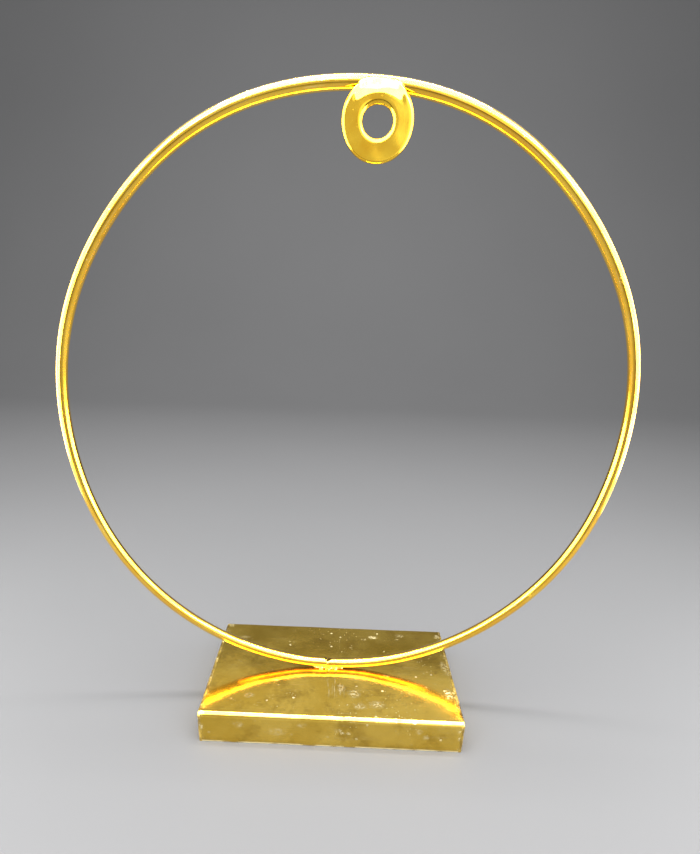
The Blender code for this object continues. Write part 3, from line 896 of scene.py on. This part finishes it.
def sheet_finish(name, marked):
    """Plating on rolled sheet: olive clouds, fine lines along X, flecks, pits, smudges and a painted foot
    highlight.
    """
    made = Finish(name)
    made.shader.inputs["Metallic"].default_value = 0.97
    cloud = made.noise(19.0, 6.0, 0.64, distortion=0.5)
    grime = made.noise(55.0, 8.0, 0.72)
    lines = made.noise(1.0, 4.0, 0.7, made.stretched((28.0, 1500.0, 1500.0)))
    scratch = made.product(made.step(lines, 0.60, 0.70), made.step(cloud, 0.40, 0.62))
    peel = made.noise(300.0, 4.0, 0.6)
    grain = made.noise(1500.0, 2.0, 0.5)
    distance, chance = made.cells(190.0, made.crumbled(0.5 * MM, 900.0))
    patchy = made.step(made.noise(30.0, 3.0), 0.44, 0.66)
    chosen = made.step(chance, 0.70, 0.78)
    fleck = made.product(made.step(distance, 0.20, 0.07), chosen, made.total(patchy, 0.25))
    small_distance, small_chance = made.cells(620.0)
    dots = made.product(made.step(small_distance, 0.30, 0.12), made.step(small_chance, 0.62, 0.72), patchy)
    wear_and_foot_highlight = made.greatest(made.product(fleck, 0.8), made.product(dots, 0.5))
    if marked:
        crumbs = made.step(made.noise(650.0, 3.0, 0.7), 0.42, 0.60)
        smudge = sheet_marks(made, made.crumbled(1.6 * MM, 320.0))
        streak = made.noise(1.0, 3.0, 0.6, made.stretched((900.0, 60.0, 60.0)))
        below_weld = made.mark((2.5 * MM, -18.0 * MM, BASE_TOP), (9 * MM, 17 * MM, 2 * MM), made.place, 1.0)
        streaks = made.product(below_weld, made.step(streak, 0.54, 0.66), 0.6)
        smudge = made.product(smudge, made.total(made.product(crumbs, 0.85), 0.12))
        # the pale mask takes in the painted highlight along the foot as well as flecks, smudges and streaks
        wear_and_foot_highlight = made.greatest(wear_and_foot_highlight, streaks, smudge, worn_ends_and_foot_highlight(made))
    colour = made.blend(made.step(cloud, 0.36, 0.66), SHEET_GOLD, SHEET_LIGHT)
    colour = made.blend(made.step(grime, 0.47, 0.70, 0.0, 0.80), colour, SHEET_OLIVE)
    haze = made.step(made.noise(240.0, 5.0, 0.7), 0.50, 0.72, 0.0, 0.35)
    colour = made.blend(haze, colour, SHEET_LIGHT)
    colour = made.blend(made.product(scratch, 0.35), colour, PALE_GOLD)
    # pale colour for flecks, smudges and streaks, and for the painted highlight along the foot
    colour = made.blend(wear_and_foot_highlight, colour, PALE_WEAR_AND_HIGHLIGHT)
    roughness = made.total(
        made.step(cloud, 0.30, 0.70, 0.09, 0.15),
        made.step(grime, 0.45, 0.80, 0.0, 0.06),
        made.product(wear_and_foot_highlight, 0.34),
        made.product(scratch, 0.08),
    )
    fine = made.relief(made.total(grain, made.product(lines, 0.8)), 0.02 * MM, strength=0.45)
    height = made.total(made.product(peel, 0.5), made.product(wear_and_foot_highlight, 0.6))
    return made.finish(colour, roughness, made.relief(height, 0.06 * MM, fine, 0.6))


def bead_finish(name, roughness_low, roughness_high, speckle, dark=BRIGHT_GOLD, light=SHEET_LIGHT):
    """Plated weld metal: paler and rougher, speckled with pits and spatter."""
    made = Finish(name)
    made.lacquer(0.5, 0.08)
    cloud = made.noise(120.0, 5.0, 0.65)
    fine = made.noise(900.0, 4.0, 0.7)
    distance, chance = made.cells(900.0)
    pit = made.product(made.step(distance, 0.34, 0.12), made.step(chance, 0.55, 0.66))
    big_distance, big_chance = made.cells(420.0, made.crumbled(0.4 * MM, 1200.0))
    spatter = made.product(made.step(big_distance, 0.34, 0.12), made.step(big_chance, 0.45, 0.60))
    colour = made.blend(made.step(cloud, 0.36, 0.64), dark, light)
    patchy = made.step(made.noise(95.0, 3.0, 0.6, distortion=0.5), 0.40, 0.62)
    pale = made.product(made.greatest(spatter, made.step(fine, 0.5, 0.66)), patchy, speckle)
    colour = made.blend(pale, colour, PALE_GOLD)
    colour = made.blend(made.product(pit, 0.6), colour, SHEET_OLIVE)
    roughness = made.total(
        made.step(cloud, 0.30, 0.70, roughness_low, roughness_high),
        made.product(pit, 0.15),
        made.product(spatter, 0.12 * speckle),
    )
    height = made.total(made.product(fine, 0.6), made.product(spatter, 0.7), made.product(pit, -0.7))
    return made.finish(colour, roughness, made.relief(height, 0.07 * MM * speckle + 0.01 * MM, strength=0.7))


# ---------------------------------------------------------------- pieces


def make_pieces():
    """Every piece of the frame, in its finish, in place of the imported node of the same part."""
    bar = bar_finish()
    washer = washer_finish()
    fold = sheet_finish("plated_sheet_top", True)
    plate = sheet_finish("plated_sheet_end", False)
    weld = bead_finish("plated_weld", 0.18, 0.32, 0.8)
    smooth_weld = bead_finish("plated_smooth_weld", 0.13, 0.20, 0.12)
    ground_weld = bead_finish("plated_ground_weld", 0.26, 0.42, 1.0, SHEET_OLIVE, SHEET_LIGHT)

    fit("hoop_bar", make_hoop_bar(), bar, "hoop")
    fit("hoop_seam_bead", make_seam_bead(), smooth_weld, "hoop_seam_weld")
    for word, side, seed in (("front", -1, 11), ("rear", 1, 17)):
        bead = make_foot_bead("foot_bead_" + word, side, seed)
        fit("foot_bead_" + word, bead, weld, "foot_weld_" + word)
    fit("eye_washer", make_eye_washer(), washer, "hanging_eye")
    fit("eye_bead", make_eye_bead(), smooth_weld, "eye_weld")
    fit("base_fold", make_base_fold(), fold, "base_channel")
    for word, side, seed in (("left", -1, 61), ("right", 1, 67)):
        end_plate = make_end_plate("end_plate_" + word, side, seed)
        fit("end_plate_" + word, end_plate, plate, "base_end_" + word)
        end_bead = make_end_bead("end_bead_" + word, side, seed + 10)
        fit("end_bead_" + word, end_bead, ground_weld, "base_end_weld_" + word)


# ---------------------------------------------------------------- camera, stage and light

CAMERA_PLACE = Vector((-1.36 * MM, -312.45 * MM, 236.35 * MM))
CAMERA_YAW = math.radians(-1.627)
CAMERA_DOWN = math.radians(24.976)
CAMERA_ROLL = math.radians(1.443)
FOCAL_LENGTH = 0.69226           # of the image's height
AXIS_LEFT = 0.0368               # of the optical axis from the image's middle, by its height
AXIS_BELOW = 0.1617
SENSOR = 36.0


def make_camera():
    """Looks down at the frame from a little in front, with its axis low in the picture."""
    ahead = Vector((
        math.sin(CAMERA_YAW) * math.cos(CAMERA_DOWN),
        math.cos(CAMERA_YAW) * math.cos(CAMERA_DOWN),
        -math.sin(CAMERA_DOWN),
    ))
    level = Vector((math.cos(CAMERA_YAW), -math.sin(CAMERA_YAW), 0.0))
    upright = level.cross(ahead)
    right = math.cos(CAMERA_ROLL) * level + math.sin(CAMERA_ROLL) * upright
    up = math.cos(CAMERA_ROLL) * upright - math.sin(CAMERA_ROLL) * level
    data = bpy.data.cameras.new("camera")
    data.sensor_width = SENSOR
    data.lens = SENSOR * FOCAL_LENGTH
    data.shift_x = AXIS_LEFT
    data.shift_y = AXIS_BELOW
    data.clip_start = 0.01
    camera = bpy.data.objects.new("camera", data)
    bpy.context.scene.collection.objects.link(camera)
    turned = Matrix((right, up, -ahead)).transposed().to_4x4()
    camera.matrix_world = Matrix.Translation(CAMERA_PLACE) @ turned
    bpy.context.scene.camera = camera


def make_stage():
    """A floor that curves up into a wall behind: a flat run, a quarter circle and a rise.

    Its colour is a dark grey, which the strong light on it makes look pale.
    """
    reach, wall_y, bend, top = 3.0, 1.7, 0.7, 1.2
    curve, _ = corner_arc((wall_y - bend, bend), bend, -90, 0, 24)
    profile = np.vstack([[-reach, 0.0], curve, [wall_y, top]])
    x = np.linspace(-reach, reach, 3)[:, None]
    y, z = profile[None, :, 0], profile[None, :, 1]
    grid = np.stack([x + 0 * y, y + 0 * x, z + 0 * x], -1)
    rows, columns = grid.shape[:2]
    row, column = np.meshgrid(np.arange(rows - 1), np.arange(columns - 1), indexing="ij")
    corner = (row * columns + column).ravel()
    faces = np.stack([corner, corner + columns, corner + columns + 1, corner + 1], -1)
    mesh = bpy.data.meshes.new("floor")
    mesh.from_pydata(grid.reshape(-1, 3).tolist(), [], faces.tolist())
    mesh.shade_smooth()
    floor = bpy.data.objects.new("floor", mesh)
    bpy.context.scene.collection.objects.link(floor)
    made = Finish("floor_grey")
    made.shader.inputs["Metallic"].default_value = 0.0
    cloud = made.noise(3.0, 4.0, 0.5)
    grain = made.noise(900.0, 3.0, 0.5)
    colour = made.blend(cloud, (0.045, 0.045, 0.046, 1.0), (0.051, 0.051, 0.052, 1.0))
    mesh.materials.append(made.finish(colour, 0.75, made.relief(grain, 0.05 * MM, strength=0.2)))


def add_panel(name, place, target, width, height, radiance):
    """A soft light panel of a given radiance, facing a target."""
    data = bpy.data.lights.new(name, "AREA")
    data.shape = "RECTANGLE"
    data.size = width
    data.size_y = height
    data.energy = radiance * math.pi * width * height
    panel = bpy.data.objects.new(name, data)
    bpy.context.scene.collection.objects.link(panel)
    facing = (Vector(target) - Vector(place)).to_track_quat("-Z", "Y")
    panel.matrix_world = Matrix.Translation(Vector(place)) @ facing.to_matrix().to_4x4()


def make_light():
    """A strip overhead, a ceiling panel, two panels on each side, and a dim one in front.

    The strip stands a little to the rear. The low side panels carry the side light down to the
    floor, and the one in front makes the eye's right half the brighter.
    """
    middle = (0.0, 0.0, 0.15)
    add_panel("overhead_strip", (0.0, 0.19, 1.25), (0.0, 0.0, 0.02), 1.1, 0.11, 80.0)
    add_panel("ceiling", (0.0, -0.55, 1.25), middle, 2.1, 1.5, 12.0)
    add_panel("side_left", (-0.48, -0.25, 0.37), (0.0, -0.15, 0.37), 0.8, 0.70, 7.5)
    add_panel("side_right", (0.48, -0.25, 0.37), (0.0, -0.15, 0.37), 0.8, 0.70, 8.0)
    add_panel("side_left_low", (-0.38, -0.20, 0.085), (0.0, -0.20, 0.085), 0.6, 0.14, 2.4)
    add_panel("side_right_low", (0.38, -0.20, 0.085), (0.0, -0.20, 0.085), 0.6, 0.14, 2.4)
    add_panel("front_right", (0.66, -1.50, 0.60), middle, 1.1, 0.7, 0.95)
    world = bpy.data.worlds.new("studio")
    world.use_nodes = True
    background = world.node_tree.nodes["Background"]
    background.inputs["Color"].default_value = (0.98, 0.99, 1.0, 1.0)
    background.inputs["Strength"].default_value = 0.70
    bpy.context.scene.world = world
    bpy.context.scene.view_settings.view_transform = "Standard"


make_camera()
make_pieces()
make_stage()
make_light()

bpy.context.view_layer.update()
